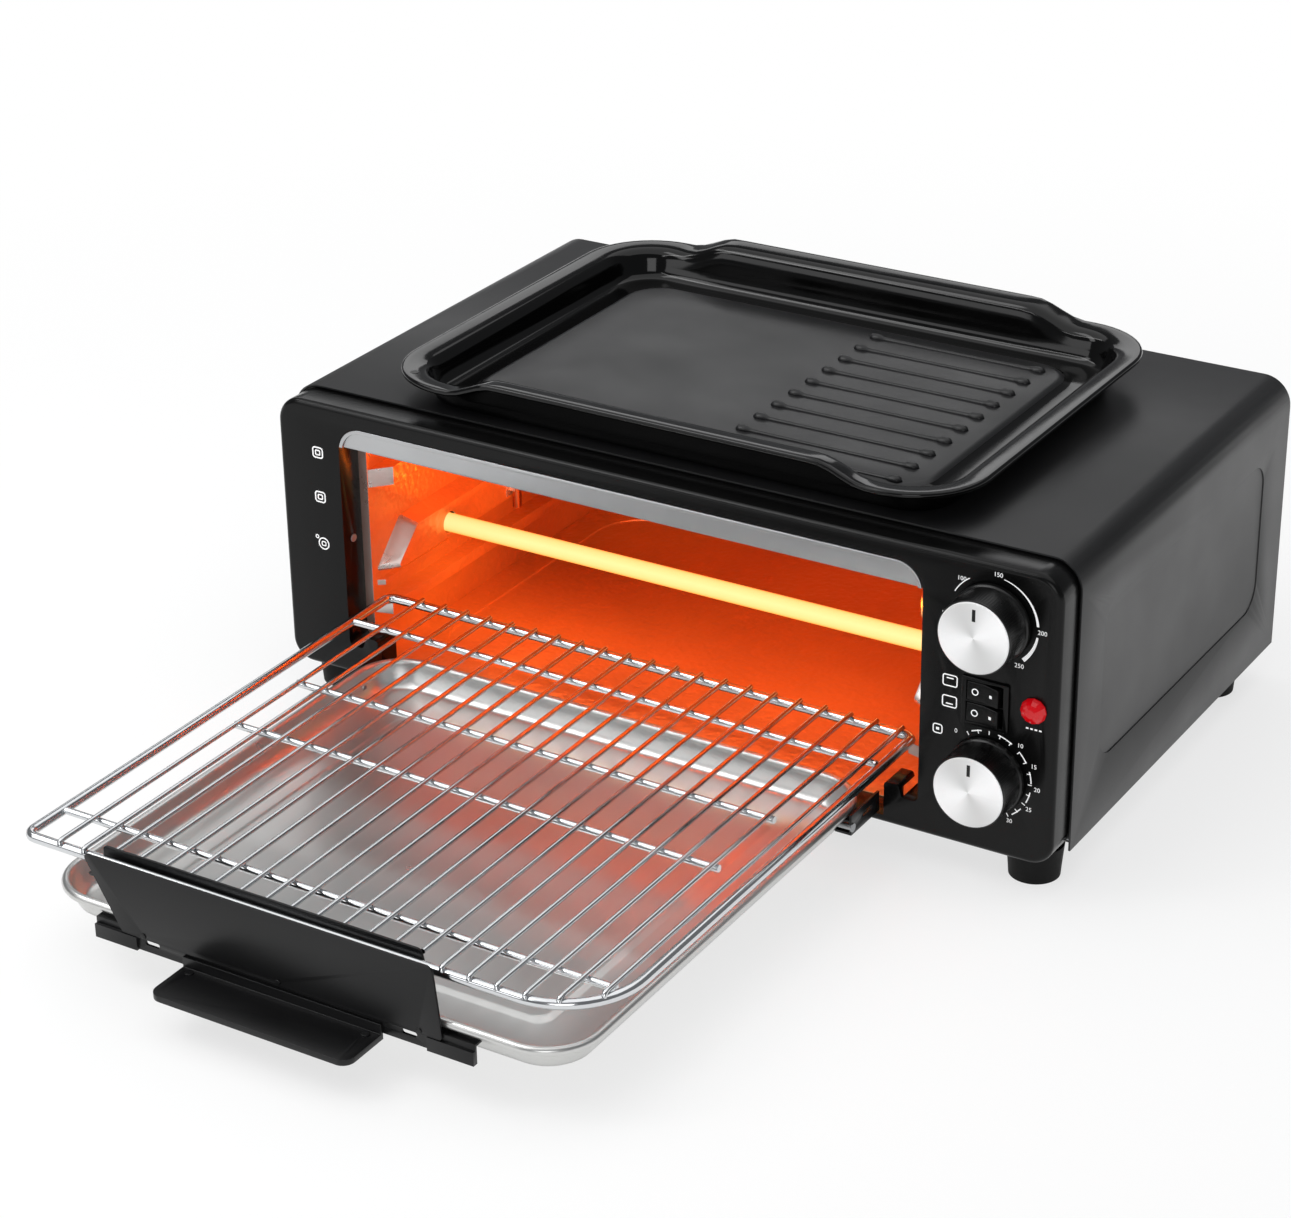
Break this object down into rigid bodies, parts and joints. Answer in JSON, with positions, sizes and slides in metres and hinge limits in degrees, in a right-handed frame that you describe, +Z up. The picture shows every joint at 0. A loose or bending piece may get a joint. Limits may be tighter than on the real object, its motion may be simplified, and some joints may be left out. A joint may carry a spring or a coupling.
{
  "type": "multifunction mini oven",
  "caption": "Benchtop mini oven with a pull-out wire rack over a drip tray, radiant tubes, two dials, two rocker switches and a lift-off ribbed griddle on top.",
  "frame": {"origin": "under the middle of the whole part's box with the drawer out, on the surface it stands on", "axes": "+X to the right as seen from the front, +Y from the handle to the back, +Z up"},
  "size_m": [0.443, 0.572, 0.1943],
  "materials": {
    "black_enamel": "gloss",
    "black_paint": "satin",
    "black_plastic": "matte",
    "gloss_black": "gloss",
    "stainless": "satin",
    "aluminised_steel": "satin",
    "chrome_wire": "polished",
    "aluminium": "spun",
    "zinc_steel": "zinc plated",
    "quartz": "clear",
    "ceramic": "matte",
    "coil_wire": "oxidised",
    "red_lens": "gloss",
    "copper": "plain",
    "rubber": "matte"
  },
  "bodies": {
    "oven_body": {"front_bezel": "gloss_black", "opening_trim": "stainless", "jamb_pin": "zinc_steel", "outer_shell": "black_paint", "back_panel": "black_paint", "cord_gland": "black_plastic", "bottom_plate": "zinc_steel", "feet": "rubber", "feet_screws": "zinc_steel", "back_screws": "zinc_steel", "bezel_screws": "zinc_steel", "cavity_left_wall": "aluminised_steel", "cavity_right_wall": "aluminised_steel", "cavity_floor": "aluminised_steel", "cavity_roof": "aluminised_steel", "cavity_back_wall": "aluminised_steel", "heat_shield": "zinc_steel", "front_heating_tube": "quartz", "rear_heating_tube": "quartz", "heating_coils": "coil_wire", "tube_ceramic_caps": "ceramic", "tube_brackets": "zinc_steel", "lower_heater": "coil_wire", "lower_heater_clips": "zinc_steel", "sensor_clip": "stainless", "sensor_bulb": "copper", "thermostat_body": "zinc_steel", "timer_body": "zinc_steel", "timer_bell": "zinc_steel", "control_screws": "zinc_steel", "switch_housing": "black_plastic", "switch_terminals": "copper", "lamp_lens": "red_lens", "lamp_holder": "black_plastic", "terminal_block": "ceramic"},
    "drawer": {"tray": "stainless", "tray_clips": "black_paint", "clip_rivets": "zinc_steel", "handle_plate": "black_paint", "rack_channel": "black_paint", "handle_strip": "black_paint", "strip_rivets": "black_paint", "handle_grip": "black_paint", "grip_rivets": "black_paint"},
    "rack": {"rack_frame": "chrome_wire", "rack_wires": "chrome_wire", "rack_cross_wires": "chrome_wire"},
    "griddle": {"griddle_pan": "black_enamel"},
    "temperature_dial": {"temperature_knob": "black_plastic", "temperature_knob_cap": "aluminium", "thermostat_shaft": "aluminium"},
    "timer_dial": {"timer_knob": "black_plastic", "timer_knob_cap": "aluminium", "timer_shaft": "aluminium"},
    "upper_rocker": {"upper_heat_rocker": "gloss_black"},
    "lower_rocker": {"lower_heat_rocker": "gloss_black"}
  },
  "joints": [
    {"name": "drawer_slide", "type": "slide", "parent": "oven_body", "child": "drawer", "axis": [0, 1, 0], "range_m": [0, 0.238]},
    {"name": "rack_slide", "type": "slide", "parent": "oven_body", "child": "rack", "axis": [0, 1, 0], "range_m": [0, 0.238]},
    {"name": "griddle_lift", "type": "slide", "parent": "oven_body", "child": "griddle", "axis": [0, 0, 1], "range_m": [0, 0.12]},
    {"name": "temperature_turn", "type": "hinge", "parent": "oven_body", "child": "temperature_dial", "pos_m": [0.186, 0.014, 0.1385], "axis": [0, 1, 0], "range_deg": [0, 270]},
    {"name": "timer_turn", "type": "hinge", "parent": "oven_body", "child": "timer_dial", "pos_m": [0.186, 0.014, 0.059], "axis": [0, 1, 0], "range_deg": [-45, 300]},
    {"name": "upper_rocker_tilt", "type": "hinge", "parent": "oven_body", "child": "upper_rocker", "pos_m": [0.1835, 0.015, 0.1008], "axis": [0, 0, 1], "range_deg": [0, 16]},
    {"name": "lower_rocker_tilt", "type": "hinge", "parent": "oven_body", "child": "lower_rocker", "pos_m": [0.1835, 0.015, 0.0898], "axis": [0, 0, 1], "range_deg": [0, 16]}
  ],
  "couplings": [
    {"joint": "rack_slide", "follows": "drawer_slide", "ratio": 1}
  ]
}
